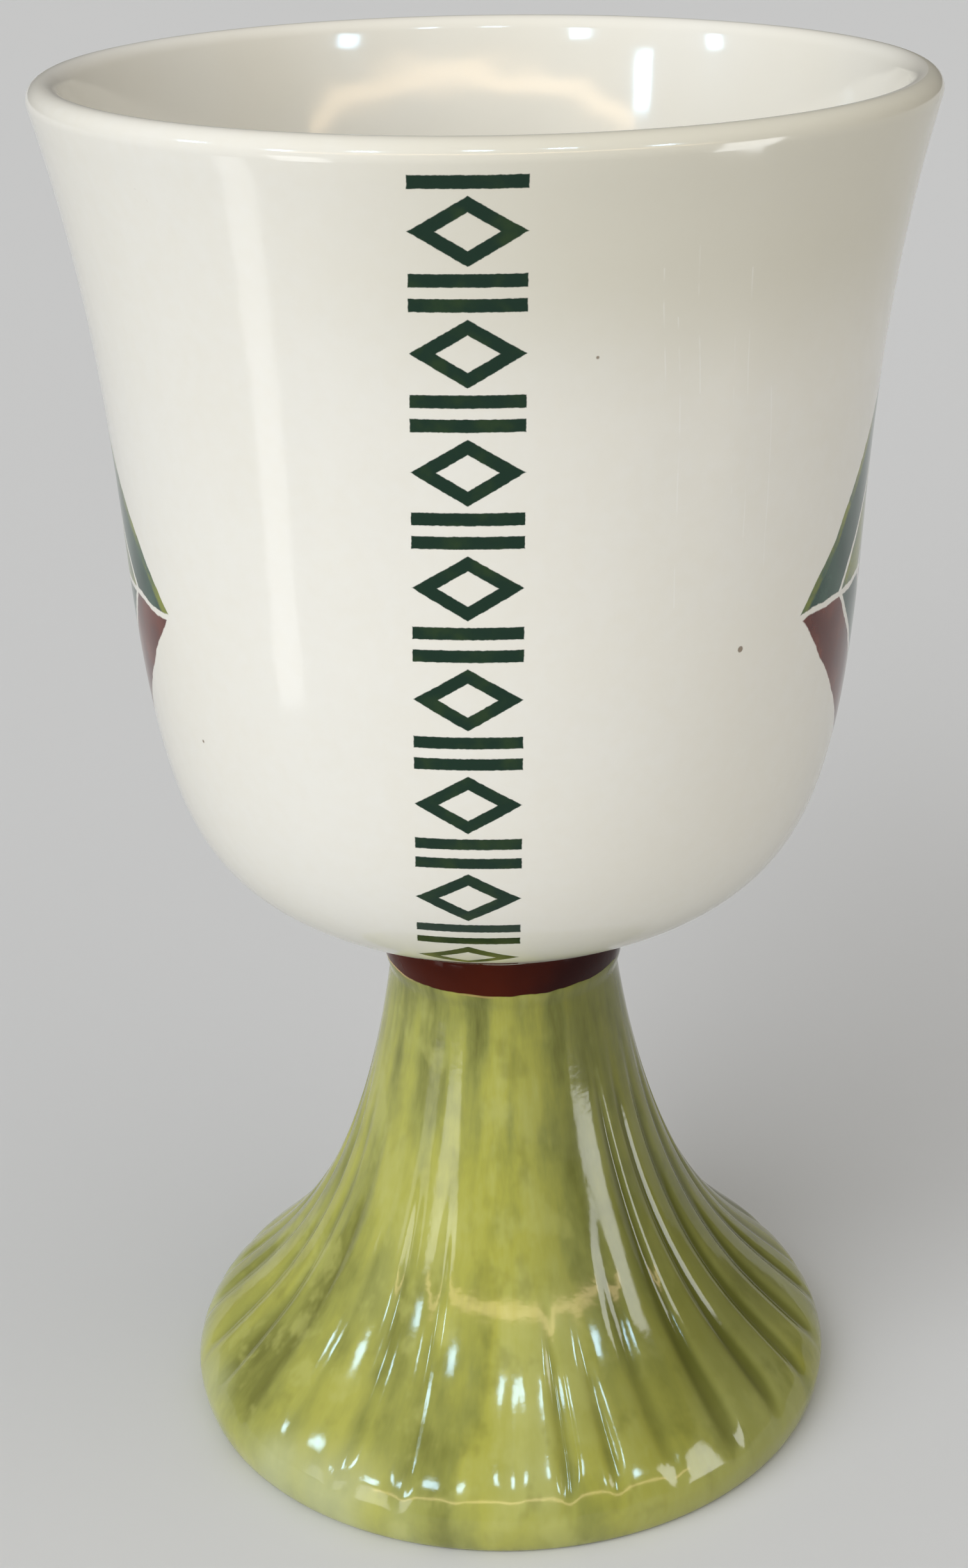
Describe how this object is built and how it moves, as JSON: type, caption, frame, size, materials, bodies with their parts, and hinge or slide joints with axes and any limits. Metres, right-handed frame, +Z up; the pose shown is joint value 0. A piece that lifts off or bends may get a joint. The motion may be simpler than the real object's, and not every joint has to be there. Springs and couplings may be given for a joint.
{
  "type": "ceramic goblet",
  "caption": "Glazed ceramic goblet with an outward-curving bowl, a dark collar and a flared, fluted, hollow foot.",
  "frame": {"origin": "centre of the foot's flat underside, on the goblet's axis", "axes": "+Z up along the goblet's axis, -Y towards the decorated front, +X to the right of the front"},
  "size_m": [0.0954, 0.0954, 0.1619],
  "materials": {
    "glaze": "glossy"
  },
  "bodies": {
    "root": {"goblet": "glaze"}
  },
  "joints": []
}
